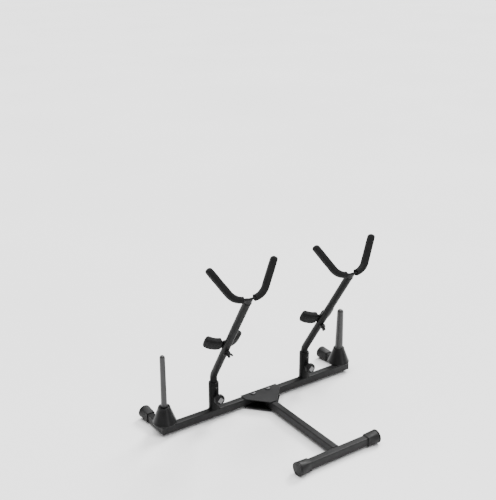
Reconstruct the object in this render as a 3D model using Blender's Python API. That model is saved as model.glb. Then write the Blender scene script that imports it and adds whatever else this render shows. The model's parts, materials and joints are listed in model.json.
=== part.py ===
"""Double saxophone stand with a flute peg and a clarinet peg.

The base is a T: a front leg with a cross tube, and two half bars that pivot between two hub
plates. Each half bar carries a side leg, an instrument peg and a vertical socket. A bent round
arm stands in each socket and holds a small cradle for the bow of a saxophone and a wide yoke
for its bell. Metres, +Z up, -Y towards the front leg, X along the bar. The origin is at the
centre of the footprint, on the floor.
"""
import math

import bmesh
import bpy
from mathutils import Vector

GAP = 0.0003                  # clearance between touching pieces
ROUND_SIDES = 18              # facets round a small turned piece
LARGE_SIDES = 24              # facets round a socket, a knob or a peg base

# --- base tubes -------------------------------------------------------------------------------
TUBE_W = 0.0155               # width of the flat-sided base tube
TUBE_H = 0.018                # height of the base tube
TUBE_WALL = 0.0015
TUBE_CORNER = 0.002
TUBE_BOTTOM = 0.0055          # the caps lift the tubes off the floor by this much
TUBE_TOP = TUBE_BOTTOM + TUBE_H
TUBE_MID = TUBE_BOTTOM + TUBE_H / 2

HALF_LENGTH = 0.255           # from the centre to the outer face of a side leg
SIDE_LEG_END = 0.0885         # rearmost point of a rear cap
FRONT_BAR_Y = -0.2710         # centre line of the front cross tube
FRONT_BAR_HALF = 0.104        # half length of the cross tube with its caps

# --- hub --------------------------------------------------------------------------------------
PIVOT_X = 0.020               # each half bar turns about a bolt this far from the centre
BAR_INNER_END = 0.009         # the half bar reaches this far past its bolt
PLATE_T = 0.002
PLATE_BACK_X = 0.048
PLATE_BACK_Y = 0.0085
PLATE_SHOULDER_Y = -0.0095
PLATE_NOSE_X = 0.0085
PLATE_NOSE_Y = -0.053
LEG_REAR_Y = 0.0075
BOLT_R = 0.003
HOLE_R = BOLT_R + GAP

# --- rubber end caps --------------------------------------------------------------------------
CAP_LENGTH = 0.030
CAP_SLEEVE_W = 0.0195
CAP_SLEEVE_H = 0.0215
CAP_END_R = 0.0145
CAP_END_T = 0.005
CAP_SIDES = 24
CAP_CAVITY = 0.024            # how far the tube goes into its cap

# --- sockets ----------------------------------------------------------------------------------
SOCKET_X = 0.1235
SOCKET_R = 0.01125
SOCKET_BORE_R = 0.0097
SOCKET_TOP = 0.087
BUSH_R = SOCKET_BORE_R - GAP
BUSH_BOTTOM = 0.062
BUSH_FLANGE_R = 0.0110
BUSH_FLANGE_T = 0.0022
RIVET_Z = SOCKET_TOP - 0.008
RIVET_R = 0.0019
KNOB_Z = 0.056
KNOB_R = 0.01175
KNOB_BACK_Y = -0.0163
KNOB_FACE_Y = -0.0280
BOSS_R = 0.0070

# --- arms -------------------------------------------------------------------------------------
POST_R = 0.008
POST_WALL = 0.0015
POST_LENGTH = 0.066           # straight part below the bend
BEND_R = 0.026
ARM_SIDES = 16
LEAN = math.radians(34)       # the arm leans this far forward of the vertical
ARM_TURN = {-1: math.radians(-7), 1: math.radians(-5)}     # about the post, left and right
BEND_Z = {-1: 0.105, 1: 0.098}     # where the axes of post and arm cross, left and right
YOKE_AT = 0.293              # along the arm from that crossing to the yoke's bottom

# --- bell yoke --------------------------------------------------------------------------------
YOKE_TILT = math.radians(25)  # the yoke leans back from the vertical
STRIP_T = 0.003
YOKE_STRIP_W = 0.012
YOKE_FLAT = 0.009             # half width of the flat middle
YOKE_BEND_R = 0.036
YOKE_RISE = math.radians(59)  # slope of the prongs
YOKE_PRONG = 0.055            # straight length of a prong
YOKE_PAD_T = 0.014
YOKE_PAD_W = 0.017
NECK_LENGTH = 0.010           # the arm's tube ends this far below the yoke
NECK_TOP = (0.015, 0.011, 0.002)   # width, depth and corner radius under the yoke

# --- bow cradle -------------------------------------------------------------------------------
CRADLE_AT = 0.114             # along the arm from the crossing to the cradle's middle
CRADLE_PLATE_W = 0.014
CRADLE_PLATE_LOW = -0.013
CRADLE_PLATE_HIGH = 0.013
CRADLE_STRIP_H = 0.018
CRADLE_BEND_R = 0.0435
CRADLE_SWEEP = math.radians(42)
CRADLE_PAD_T = 0.016
CRADLE_PAD_H = 0.031
CRADLE_PAD_BACK = 0.0025      # the pad is thicker behind the strip than in front of it
CRADLE_BOLT = -0.0045         # the bolt, from the cradle's middle along the arm
NUT_TURN = {-1: math.radians(-25), 1: math.radians(-75)}   # how far each wing nut is turned
CRADLE_TRAVEL = 0.010         # how far the cradle slides down along its slot

# --- instrument pegs --------------------------------------------------------------------------
PEG_X = 0.239
PEG_Y = 0.0125
PEG_BASE_R = 0.026
PEG_NECK_R = 0.0128
PEG_BASE_H = 0.0375
SPIGOT_R = 0.0040             # the peg's foot inside its cone
SPIGOT_LENGTH = 0.016
GUSSET_LEG = 0.034
GUSSET_T = 0.002
SCREW_X = 0.2303              # the screw stands clear of both tubes
SCREW_Y = 0.0165
SCREW_RISE = 0.012            # how far it reaches up into the cone
SCREW_HEAD_R = 0.0041

# The footprint runs from the front caps to the rear caps, and the origin is at its middle.
FRONT_MOST = FRONT_BAR_Y - CAP_END_R
SHIFT_Y = -(FRONT_MOST + SIDE_LEG_END) / 2

X_AXIS = Vector((1, 0, 0))
Y_AXIS = Vector((0, 1, 0))
Z_AXIS = Vector((0, 0, 1))
ALONG_ARM = Vector((0, -math.sin(LEAN), math.cos(LEAN)))
BEHIND_ARM = Vector((0, math.cos(LEAN), math.sin(LEAN)))
YOKE_UP = Vector((0, math.sin(YOKE_TILT), math.cos(YOKE_TILT)))
YOKE_FRONT = Vector((0, -math.cos(YOKE_TILT), math.sin(YOKE_TILT)))


# --- general helpers --------------------------------------------------------------------------
def clear_scene():
    for old in list(bpy.data.objects):
        bpy.data.objects.remove(old, do_unlink=True)


def make_material(name, colour, roughness, metallic):
    made = bpy.data.materials.new(name)
    made.use_nodes = True
    shader = made.node_tree.nodes["Principled BSDF"]
    shader.inputs["Base Color"].default_value = (*colour, 1.0)
    shader.inputs["Roughness"].default_value = roughness
    shader.inputs["Metallic"].default_value = metallic
    made.diffuse_color = (*colour, 1.0)
    return made


def make_empty(name, place, parent=None):
    """An empty at a point of the stand's own frame."""
    empty = bpy.data.objects.new(name, None)
    bpy.context.collection.objects.link(empty)
    empty.parent = parent
    empty["place"] = tuple(place)
    base = Vector(parent["place"]) if parent else Vector()
    empty.location = Vector(place) - base
    return empty


def add_object(name, shape, material, parent, sharp=35):
    """Turn a bmesh drawn in the stand's frame into an object under its parent's axis."""
    bmesh.ops.recalc_face_normals(shape, faces=shape.faces)
    mesh = bpy.data.meshes.new(name)
    bmesh.ops.translate(shape, verts=shape.verts, vec=-Vector(parent["place"]))
    shape.to_mesh(mesh)
    shape.free()
    mesh.shade_smooth()
    mesh.set_sharp_from_angle(angle=math.radians(sharp))
    made = bpy.data.objects.new(name, mesh)
    bpy.context.collection.objects.link(made)
    made.parent = parent
    if material:
        mesh.materials.append(MATERIALS[material])
    return made


def combine(target, tool, operation):
    """A Boolean with the EXACT solver, whose tool is only a guide."""
    tool.hide_render = True
    tool.display_type = "WIRE"
    modifier = target.modifiers.new(operation.lower(), "BOOLEAN")
    modifier.operation = operation
    modifier.solver = "EXACT"
    modifier.object = tool


def bevel(target, width, segments=2):
    modifier = target.modifiers.new("edges", "BEVEL")
    modifier.width = width
    modifier.segments = segments
    modifier.limit_method = "ANGLE"
    modifier.angle_limit = math.radians(50)


def loft(rings, loop=False):
    """Bridge rings of equal length. Open lofts get a flat face at each end."""
    shape = bmesh.new()
    made = [[shape.verts.new(point) for point in ring] for ring in rings]
    count = len(made[0])
    pairs = list(zip(made, made[1:]))
    if loop:
        pairs.append((made[-1], made[0]))
    for first, second in pairs:
        for index in range(count):
            after = (index + 1) % count
            shape.faces.new((first[index], first[after], second[after], second[index]))
    if not loop:
        shape.faces.new(made[0])
        shape.faces.new(reversed(made[-1]))
    return shape


def rounded_rectangle(width, height, radius, steps=2):
    """Corner arcs of a rounded rectangle, as points round its centre."""
    points = []
    corners = ((1, 1, 0), (-1, 1, 90), (-1, -1, 180), (1, -1, 270))
    for side_x, side_y, start in corners:
        for step in range(steps + 1):
            angle = math.radians(start + 90 * step / steps)
            points.append((side_x * (width / 2 - radius) + radius * math.cos(angle),
                           side_y * (height / 2 - radius) + radius * math.sin(angle)))
    return points


def rectangle_by_angle(width, height, radius, count):
    """A rounded rectangle met by evenly spread rays, with flats at its four sides."""
    points = []
    for index in range(count):
        angle = 2 * math.pi * (index + 0.5) / count
        ray_x, ray_y = math.cos(angle), math.sin(angle)
        reach = min((width / 2) / max(abs(ray_x), 1e-9), (height / 2) / max(abs(ray_y), 1e-9))
        inner_x, inner_y = width / 2 - radius, height / 2 - radius
        if abs(reach * ray_x) > inner_x and abs(reach * ray_y) > inner_y:
            across = inner_x * abs(ray_x) + inner_y * abs(ray_y)
            rest = inner_x ** 2 + inner_y ** 2 - radius ** 2
            reach = across + math.sqrt(max(across ** 2 - rest, 0))
        points.append((reach * ray_x, reach * ray_y))
    return points


def circle(radius, count):
    """A circle whose flats, not its corners, face the axes."""
    return [(radius * math.cos(2 * math.pi * (index + 0.5) / count),
             radius * math.sin(2 * math.pi * (index + 0.5) / count)) for index in range(count)]


def place_ring(points, centre, across, up):
    return [centre + across * a + up * b for a, b in points]


def cut_ring(ring, along, point, normal):
    """Slide each point of a ring along a direction until it lies on a plane."""
    return [spot + along * ((point - spot).dot(normal) / along.dot(normal)) for spot in ring]


def lathe(profile, centre, axis, count=ROUND_SIDES, loop=False):
    """Turn (radius, height) points about an axis. A looped profile leaves a bore."""
    across = axis.orthogonal().normalized()
    up = axis.cross(across)
    rings = [place_ring(circle(radius, count), centre + axis * height, across, up)
             for radius, height in profile]
    return loft(rings, loop)


def prism(outline, direction):
    """Extrude a flat outline along a vector."""
    return loft([outline, [point + direction for point in outline]])


def box_tube(start, end, up, start_normal=None, end_normal=None):
    """Hollow flat-sided tube between two points, with square or mitred ends."""
    along = (end - start).normalized()
    across = along.cross(up)
    rings = []
    for wall, ends in ((0, (0, 1)), (TUBE_WALL, (1, 0))):
        outline = rounded_rectangle(TUBE_W - 2 * wall, TUBE_H - 2 * wall,
                                    TUBE_CORNER - wall * 0.7)
        for which in ends:
            point = end if which else start
            normal = (end_normal if which else start_normal) or along
            rings.append(cut_ring(place_ring(outline, point, across, up), along, point, normal))
    return loft(rings, loop=True)


# --- pieces of the base -----------------------------------------------------------------------
def make_end_cap(name, end, along, parent):
    """Rubber cap: a square sleeve that flares into a round foot, flat where it stands."""
    up = Z_AXIS
    across = along.cross(up)
    foot_r = CAP_END_R / math.cos(math.pi / CAP_SIDES)
    sleeve = rectangle_by_angle(CAP_SLEEVE_W, CAP_SLEEVE_H, 0.004, CAP_SIDES)
    flare = [(a + (b - a) / 2, c + (d - c) / 2)
             for (a, c), (b, d) in zip(sleeve, circle(foot_r, CAP_SIDES))]
    cavity = rectangle_by_angle(TUBE_W + 3 * GAP, TUBE_H + 3 * GAP, 0.001, CAP_SIDES)
    flange = end - along * CAP_END_T
    start = end - along * CAP_LENGTH
    stations = (
        (cavity, start + along * CAP_CAVITY),
        (cavity, start),
        (sleeve, start),
        (sleeve, start + along * 0.003),
        (flare, start + along * (CAP_LENGTH - CAP_END_T + 0.003) / 2),
        (circle(foot_r, CAP_SIDES), flange),
        (circle(foot_r, CAP_SIDES), end - along * 0.0012),
        (circle(foot_r - 0.0014, CAP_SIDES), end),
    )
    rings = [place_ring(points, centre, across, up) for points, centre in stations]
    return add_object(name, loft(rings), "rubber", parent)


def make_hub(stand):
    """Two plates, the front leg and its cross tube, and the two pivot bolts."""
    outline = ((-PLATE_BACK_X, PLATE_BACK_Y), (-PLATE_BACK_X, PLATE_SHOULDER_Y),
               (-PLATE_NOSE_X, PLATE_NOSE_Y), (PLATE_NOSE_X, PLATE_NOSE_Y),
               (PLATE_BACK_X, PLATE_SHOULDER_Y), (PLATE_BACK_X, PLATE_BACK_Y))
    levels = (("hub_top_plate", TUBE_TOP + GAP), ("hub_bottom_plate", TUBE_BOTTOM - GAP - PLATE_T))
    for name, level in levels:
        flat = [Vector((x, y, level)) for x, y in outline]
        plate = add_object(name, prism(flat, Z_AXIS * PLATE_T), "steel", stand)
        bevel(plate, 0.0006)
        for side in (-1, 1):
            combine(plate, make_pivot_cutter(f"cutter_{name}_{side}", side, stand), "DIFFERENCE")

    leg_front = FRONT_BAR_Y + TUBE_W / 2 + GAP
    leg = box_tube(Vector((0, LEG_REAR_Y, TUBE_MID)), Vector((0, leg_front, TUBE_MID)), Z_AXIS)
    add_object("front_leg", leg, "steel", stand)

    cap_lip = CAP_LENGTH - CAP_CAVITY + GAP
    bar_end = FRONT_BAR_HALF - cap_lip
    bar = box_tube(Vector((-bar_end, FRONT_BAR_Y, TUBE_MID)),
                   Vector((bar_end, FRONT_BAR_Y, TUBE_MID)), Z_AXIS)
    add_object("front_cross_tube", bar, "steel", stand)
    for word, side in (("left", -1), ("right", 1)):
        end = Vector((side * FRONT_BAR_HALF, FRONT_BAR_Y, TUBE_MID))
        make_end_cap(f"front_foot_{word}", end, X_AXIS * side, stand)

    head = TUBE_TOP + 2 * GAP + PLATE_T
    foot = TUBE_BOTTOM - 2 * GAP - PLATE_T
    for word, side in (("left", -1), ("right", 1)):
        centre = Vector((side * PIVOT_X, 0, 0))
        profile = ((BOLT_R, foot - 0.0019), (BOLT_R, head), (0.0062, head),
                   (0.0062, head + 0.0010), (0.0048, head + 0.0022), (0.0020, head + 0.0027))
        add_object(f"{word}_pivot_bolt", lathe(profile, centre, Z_AXIS), "bolt", stand)
        ring = ((HOLE_R, foot), (0.0055, foot), (0.0055, foot - 0.0019), (HOLE_R, foot - 0.0019))
        add_object(f"{word}_pivot_nut", lathe(ring, centre, Z_AXIS, 6 * 3, loop=True),
                   "bolt", stand)


def make_pivot_cutter(name, side, parent):
    centre = Vector((side * PIVOT_X, 0, 0))
    return add_object(name, lathe(((HOLE_R, -0.01), (HOLE_R, 0.05)), centre, Z_AXIS), None, parent)


def make_wing_tubes(word, side, wing):
    """Half bar and side leg, mitred at the corner, with the leg's rear cap."""
    outer = HALF_LENGTH - TUBE_W / 2
    corner = Vector((side * outer, 0, TUBE_MID))
    mitre = Vector((side, 1, 0)).normalized()
    half_gap = GAP * 0.75
    bar = box_tube(Vector((side * (PIVOT_X - BAR_INNER_END), 0, TUBE_MID)),
                   corner - X_AXIS * side * half_gap, Z_AXIS, end_normal=mitre * side)
    bar = add_object(f"{word}_half_bar", bar, "steel", wing)
    combine(bar, make_pivot_cutter(f"cutter_{word}_bar", side, wing), "DIFFERENCE")

    leg_end = SIDE_LEG_END - (CAP_LENGTH - CAP_CAVITY + GAP)
    leg = box_tube(corner + Y_AXIS * half_gap, Vector((side * outer, leg_end, TUBE_MID)),
                   Z_AXIS, start_normal=mitre)
    add_object(f"{word}_side_leg", leg, "steel", wing)
    make_end_cap(f"{word}_rear_foot", Vector((side * outer, SIDE_LEG_END, TUBE_MID)),
                 Y_AXIS, wing)


def make_socket(word, side, wing, turner):
    """Upright tube for the arm, with its front boss, rivet and inner bush."""
    axis_foot = Vector((side * SOCKET_X, 0, 0))
    foot = TUBE_TOP + GAP
    wall = ((SOCKET_R, foot), (SOCKET_R, SOCKET_TOP - 0.0005),
            (SOCKET_R - 0.0005, SOCKET_TOP), (SOCKET_BORE_R, SOCKET_TOP), (SOCKET_BORE_R, foot))
    socket = add_object(f"{word}_socket", lathe(wall, axis_foot, Z_AXIS, LARGE_SIDES, loop=True),
                        "steel", wing)
    knob_axis = axis_foot + Z_AXIS * KNOB_Z
    hole = lathe(((HOLE_R, 0), (HOLE_R, 0.03)), knob_axis, -Y_AXIS, 16)
    combine(socket, add_object(f"cutter_{word}_socket", hole, None, wing), "DIFFERENCE")

    boss_front = -KNOB_BACK_Y - GAP
    ring = ((HOLE_R, 0.0085), (BOSS_R, 0.0085), (BOSS_R, boss_front - 0.0006),
            (BOSS_R - 0.0006, boss_front), (HOLE_R, boss_front))
    boss = add_object(f"{word}_knob_boss", lathe(ring, knob_axis, -Y_AXIS, loop=True),
                      "steel", wing)
    room = lathe(((SOCKET_R + GAP, 0.03), (SOCKET_R + GAP, 0.07)), axis_foot, Z_AXIS, LARGE_SIDES)
    combine(boss, add_object(f"cutter_{word}_boss", room, None, wing), "DIFFERENCE")

    rivet_foot = SOCKET_R + GAP
    dome = ((RIVET_R, rivet_foot), (RIVET_R, rivet_foot + 0.0004), (0.001, rivet_foot + 0.0009))
    add_object(f"{word}_socket_rivet", lathe(dome, axis_foot + Z_AXIS * RIVET_Z, -Y_AXIS, 16),
               "bolt", wing)

    bore = POST_R + GAP
    rim = SOCKET_TOP + GAP
    ring = ((bore, BUSH_BOTTOM), (BUSH_R, BUSH_BOTTOM), (BUSH_R, rim), (BUSH_FLANGE_R, rim),
            (BUSH_FLANGE_R, rim + 0.0008), (BUSH_FLANGE_R - 0.0016, rim + BUSH_FLANGE_T),
            (bore, rim + BUSH_FLANGE_T))
    add_object(f"{word}_bush", lathe(ring, axis_foot, Z_AXIS, LARGE_SIDES, loop=True), "plastic", turner)


def make_height_knob(word, side, knob):
    """Round clamp knob with a plain square inlay and the screw that presses on the post."""
    centre = Vector((side * SOCKET_X, 0, KNOB_Z))
    back, face = -KNOB_BACK_Y, -KNOB_FACE_Y
    tip = POST_R + 2 * GAP
    profile = ((BOLT_R, tip), (BOLT_R, back), (0.0075, back), (0.0095, back + 0.0025),
               (KNOB_R, back + 0.0035), (KNOB_R, face - 0.0015), (KNOB_R - 0.0012, face - 0.0003),
               (KNOB_R - 0.0030, face))
    add_object(f"{word}_height_knob", lathe(profile, centre, -Y_AXIS, LARGE_SIDES), "plastic", knob)
    half = 0.0055
    corners = ((half, 0), (0, half), (-half, 0), (0, -half))
    outline = [centre + Vector((x * math.sqrt(2), -face - GAP, z * math.sqrt(2)))
               for x, z in corners]
    inlay = add_object(f"{word}_knob_inlay", prism(outline, -Y_AXIS * 0.0008), "inlay", knob)
    bevel(inlay, 0.0002, 1)


def make_peg(word, name, side, rod, wing):
    """Cone base with a tapered peg in its bore, screwed to a gusset in the corner from below."""
    centre = Vector((side * PEG_X, PEG_Y, 0))
    seat = TUBE_TOP + GAP
    neck = seat + PEG_BASE_H
    bore = SPIGOT_R + GAP
    cone = ((bore, seat), (PEG_BASE_R, seat), (PEG_BASE_R, seat + 0.003),
            (PEG_BASE_R - 0.0015, seat + 0.005), (PEG_NECK_R + 0.0008, neck - 0.003),
            (PEG_NECK_R, neck), (bore, neck))
    base = add_object(f"{name}_peg_base", lathe(cone, centre, Z_AXIS, LARGE_SIDES, loop=True),
                      "rubber", wing)
    screw_foot = Vector((side * SCREW_X, SCREW_Y, 0))
    room = lathe(((HOLE_R, 0), (HOLE_R, seat + SCREW_RISE + GAP)), screw_foot, Z_AXIS, 16)
    combine(base, add_object(f"cutter_{name}_base", room, None, wing), "DIFFERENCE")

    low_r, high_r, length = rod
    rod_foot = neck + GAP
    tip = rod_foot + length
    core = ((SPIGOT_R - 0.0005, neck - SPIGOT_LENGTH), (SPIGOT_R, neck - SPIGOT_LENGTH + 0.001),
            (SPIGOT_R, rod_foot), (low_r, rod_foot), (high_r, tip - high_r),
            (high_r * 0.87, tip - high_r * 0.5), (high_r * 0.5, tip - high_r * 0.14),
            (high_r * 0.2, tip))
    add_object(f"{name}_peg", lathe(core, centre, Z_AXIS), "plastic", wing)

    under = seat - GAP - GUSSET_T - GAP
    screw = ((SCREW_HEAD_R, under - 0.0020), (SCREW_HEAD_R, under), (BOLT_R, under),
             (BOLT_R, seat + SCREW_RISE))
    add_object(f"{name}_peg_screw", lathe(screw, screw_foot, Z_AXIS), "bolt", wing)

    inner_x = HALF_LENGTH - TUBE_W - GAP
    inner_y = TUBE_W / 2 + GAP
    outline = [Vector((side * x, y, TUBE_TOP - GUSSET_T)) for x, y in (
        (inner_x, inner_y), (inner_x - GUSSET_LEG * 0.55, inner_y),
        (inner_x - GUSSET_LEG * 0.45, inner_y + GUSSET_LEG * 0.25),
        (inner_x - GUSSET_LEG * 0.25, inner_y + GUSSET_LEG * 0.45),
        (inner_x, inner_y + GUSSET_LEG * 0.55))]
    gusset = add_object(f"{word}_corner_gusset", prism(outline, Z_AXIS * GUSSET_T), "steel", wing)
    hole = lathe(((HOLE_R, TUBE_BOTTOM), (HOLE_R, 0.04)), screw_foot, Z_AXIS, 16)
    combine(gusset, add_object(f"cutter_{word}_gusset", hole, None, wing), "DIFFERENCE")


# --- pieces of an arm -------------------------------------------------------------------------
def arm_frames(side):
    """Centre, direction and backward direction of the arm's tube, from its foot to its top."""
    crossing = Vector((side * SOCKET_X, 0, BEND_Z[side]))
    setback = BEND_R * math.tan(LEAN / 2)
    frames = [(crossing - Z_AXIS * (setback + POST_LENGTH), 0.0),
              (crossing - Z_AXIS * setback, 0.0)]
    steps = 5
    bend_centre = crossing - Z_AXIS * setback - Y_AXIS * BEND_R
    for step in range(1, steps + 1):
        turn = LEAN * step / steps
        frames.append((bend_centre + Vector((0, BEND_R * math.cos(turn),
                                             BEND_R * math.sin(turn))), turn))
    frames.append((crossing + ALONG_ARM * (YOKE_AT - NECK_LENGTH - GAP), LEAN))
    return frames


def make_arm_tube(word, side, arm):
    crossing = Vector((side * SOCKET_X, 0, BEND_Z[side]))
    rings = []
    for radius, inside in ((POST_R, False), (POST_R - POST_WALL, True)):
        wall = []
        for centre, turn in arm_frames(side):
            behind = Vector((0, math.cos(turn), math.sin(turn)))
            wall.append(place_ring(circle(radius, ARM_SIDES), centre, X_AXIS, behind))
        rings += reversed(wall) if inside else wall
    tube = add_object(f"{word}_arm_tube", loft(rings, loop=True), "steel", arm)
    bolt_at = crossing + ALONG_ARM * (CRADLE_AT + CRADLE_BOLT)
    drill = lathe(((HOLE_R, -0.02), (HOLE_R, 0.02)), bolt_at, BEHIND_ARM, 16)
    combine(tube, add_object(f"cutter_{word}_arm", drill, None, arm), "DIFFERENCE")

    yoke_at = crossing + ALONG_ARM * YOKE_AT
    foot = place_ring(circle(POST_R, ARM_SIDES), yoke_at - ALONG_ARM * NECK_LENGTH,
                      X_AXIS, BEHIND_ARM)
    top = place_ring(rectangle_by_angle(*NECK_TOP, ARM_SIDES),
                     yoke_at - YOKE_UP * (STRIP_T / 2 + GAP), X_AXIS, -YOKE_FRONT)
    add_object(f"{word}_yoke_neck", loft([foot, top]), "steel", arm)


def yoke_path(steps=5):
    """(distance across, height, slope) of one prong's strip, from the middle to its tip."""
    points = [(0.0, 0.0, 0.0)]
    for step in range(steps + 1):
        turn = YOKE_RISE * step / steps
        points.append((YOKE_FLAT + YOKE_BEND_R * math.sin(turn),
                       YOKE_BEND_R * (1 - math.cos(turn)), turn))
    across, height, turn = points[-1]
    points.append((across + YOKE_PRONG * math.cos(turn), height + YOKE_PRONG * math.sin(turn),
                   turn))
    return points


def cradle_path(steps=4):
    """(distance across, distance behind, slope) of one side of the cradle's strip."""
    plate_edge = CRADLE_PLATE_W / 2
    start = POST_R + GAP + STRIP_T / 2
    points = [(0.0, start, 0.0)]
    for step in range(steps + 1):
        turn = CRADLE_SWEEP * step / steps
        points.append((plate_edge + CRADLE_BEND_R * math.sin(turn),
                       start + CRADLE_BEND_R * (1 - math.cos(turn)), turn))
    return points


def part_way(first, second, share):
    """A point between two points of a bent path."""
    return tuple(a + (b - a) * share for a, b in zip(first, second))


def bent_frames(path, origin, side, out, sideways=X_AXIS):
    """Centre and thickness direction along a bent strip, which runs to one side."""
    frames = []
    for across, depth, turn in path:
        centre = origin + sideways * (side * across) + out * depth
        normal = out * math.cos(turn) - sideways * (side * math.sin(turn))
        frames.append((centre, normal))
    return frames


def make_strip(name, path, origin, out, wide, widths, parent):
    """Flat steel strip bent the same way to both sides."""
    left = bent_frames(path, origin, -1, out)
    right = bent_frames(path, origin, 1, out)
    frames = list(reversed(left)) + right[1:]
    spans = list(reversed(widths)) + list(widths[1:])
    rings = []
    for (centre, normal), (low, high) in zip(frames, spans):
        rings.append([centre + normal * t + wide * w for t, w in (
            (-STRIP_T / 2, low), (STRIP_T / 2, low), (STRIP_T / 2, high), (-STRIP_T / 2, high))])
    return add_object(name, loft(rings), "steel", parent)


def make_pad(name, path, origin, side, out, wide, size, slot, offset, parent):
    """Rubber sleeve over one prong: rounded outside, a pocket for the strip inside."""
    thick, tall = size
    frames = bent_frames(path, origin, side, out)
    outer = rounded_rectangle(thick, tall, 0.0045)
    tip, before = frames[-1][0], frames[-2][0]
    run = (tip - before).normalized()
    normal = frames[-1][1]
    rings = []
    for ahead, scale in ((0.0070, 0.60), (0.0052, 0.88), (0.0020, 1.0)):
        points = [(a * scale + offset, b * scale) for a, b in outer]
        rings.append(place_ring(points, tip + run * ahead, normal, wide))
    for centre, across in reversed(frames):
        rings.append(place_ring([(a + offset, b) for a, b in outer], centre, across, wide))
    pocket = rounded_rectangle(STRIP_T + 2 * GAP, slot + 2 * GAP, 0.0002)
    for centre, across in frames:
        rings.append(place_ring(pocket, centre, across, wide))
    rings.append(place_ring(pocket, tip + run * GAP, normal, wide))
    return add_object(name, loft(rings), "rubber", parent)


def make_yoke(word, side, arm):
    crossing = Vector((side * SOCKET_X, 0, BEND_Z[side]))
    origin = crossing + ALONG_ARM * YOKE_AT
    path = yoke_path()
    half = YOKE_STRIP_W / 2
    make_strip(f"{word}_yoke_strip", path, origin, YOKE_UP, YOKE_FRONT,
               [(-half, half)] * len(path), arm)
    pad_path = [part_way(path[1], path[2], 0.45)] + path[2:]
    for end, way in (("left", -1), ("right", 1)):
        make_pad(f"{word}_yoke_pad_{end}", pad_path, origin, way, YOKE_UP, YOKE_FRONT,
                 (YOKE_PAD_T, YOKE_PAD_W), YOKE_STRIP_W, 0.0, arm)


def make_cradle(word, side, cradle, arm):
    crossing = Vector((side * SOCKET_X, 0, BEND_Z[side]))
    origin = crossing + ALONG_ARM * CRADLE_AT
    path = cradle_path()
    plate = (CRADLE_PLATE_LOW, CRADLE_PLATE_HIGH)
    wing_span = (-CRADLE_STRIP_H / 2, CRADLE_STRIP_H / 2)
    edge = path[1]
    path.insert(2, (edge[0] + 0.0012, edge[1], 0.0))
    widths = [plate, plate] + [wing_span] * (len(path) - 2)
    strip = make_strip(f"{word}_cradle_bracket", path, origin, BEHIND_ARM, ALONG_ARM,
                       widths, cradle)
    bolt_at = origin + ALONG_ARM * CRADLE_BOLT
    ring = []
    for start, lift in ((0, CRADLE_TRAVEL), (180, 0)):
        for step in range(0, 181, 30):
            angle = math.radians(start + step)
            ring.append((HOLE_R * math.cos(angle), HOLE_R * math.sin(angle) + lift))
    outline = place_ring(ring, bolt_at, X_AXIS, ALONG_ARM)
    slot = prism(outline, BEHIND_ARM * 0.02)
    combine(strip, add_object(f"cutter_{word}_slot", slot, None, cradle), "DIFFERENCE")

    pad_path = [part_way(path[2], path[3], 0.05)] + path[3:]
    for end, way in (("left", -1), ("right", 1)):
        make_pad(f"{word}_cradle_pad_{end}", pad_path, origin, way, BEHIND_ARM, ALONG_ARM,
                 (CRADLE_PAD_T, CRADLE_PAD_H), CRADLE_STRIP_H, CRADLE_PAD_BACK, cradle)

    back = POST_R + 2 * GAP + STRIP_T
    profile = ((0.0020, back + 0.0028), (0.0050, back + 0.0018), (0.0062, back + 0.0004),
               (0.0062, back), (BOLT_R, back), (BOLT_R, -0.0205), (BOLT_R - 0.0006, -0.0210))
    add_object(f"{word}_cradle_bolt", lathe(profile, bolt_at, BEHIND_ARM), "bolt", arm)


def make_wing_nut(word, side, nut):
    """Barrel with two thin wings, threaded on the cradle bolt in front of the arm."""
    crossing = Vector((side * SOCKET_X, 0, BEND_Z[side]))
    centre = crossing + ALONG_ARM * (CRADLE_AT + CRADLE_BOLT)
    front = -BEHIND_ARM
    foot = POST_R + 2 * GAP
    ring = ((HOLE_R, foot), (0.0062, foot), (0.0050, foot + 0.0070), (HOLE_R, foot + 0.0070))
    barrel = add_object(f"{word}_wing_nut", lathe(ring, centre, front, loop=True), "bolt", nut)
    turn = NUT_TURN[side]
    sideways = X_AXIS * math.cos(turn) + ALONG_ARM * math.sin(turn)
    thick = ALONG_ARM * math.cos(turn) - X_AXIS * math.sin(turn)
    for way in (-1, 1):
        outline = [centre + sideways * (way * x) + front * (foot + h) for x, h in (
            (0.0042, 0.0010), (0.0080, 0.0018), (0.0112, 0.0042), (0.0127, 0.0075),
            (0.0120, 0.0090), (0.0103, 0.0086), (0.0080, 0.0062), (0.0042, 0.0058))]
        flat = [point - thick * 0.0011 for point in outline]
        wing = add_object(f"cutter_{word}_nut_wing_{way}", prism(flat, thick * 0.0022), None, nut)
        combine(barrel, wing, "UNION")


# --- the whole stand --------------------------------------------------------------------------
def build_side(word, side, stand):
    wing = make_empty(f"{word}_wing_axis", (side * PIVOT_X, 0, 0), stand)
    socket_axis = (side * SOCKET_X, 0, 0)
    turner = make_empty(f"{word}_swivel_axis", socket_axis, wing)
    turner.rotation_euler.z = ARM_TURN[side]
    arm = make_empty(f"{word}_arm_axis", socket_axis, turner)
    knob = make_empty(f"{word}_knob_axis", (side * SOCKET_X, 0, KNOB_Z), wing)
    crossing = Vector((side * SOCKET_X, 0, BEND_Z[side]))
    bolt_at = crossing + ALONG_ARM * (CRADLE_AT + CRADLE_BOLT)
    cradle = make_empty(f"{word}_cradle_axis", crossing + ALONG_ARM * CRADLE_AT, arm)
    nut = make_empty(f"{word}_nut_axis", bolt_at, arm)

    make_wing_tubes(word, side, wing)
    make_socket(word, side, wing, turner)
    make_height_knob(word, side, knob)
    make_arm_tube(word, side, arm)
    make_yoke(word, side, arm)
    make_cradle(word, side, cradle, arm)
    make_wing_nut(word, side, nut)


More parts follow.
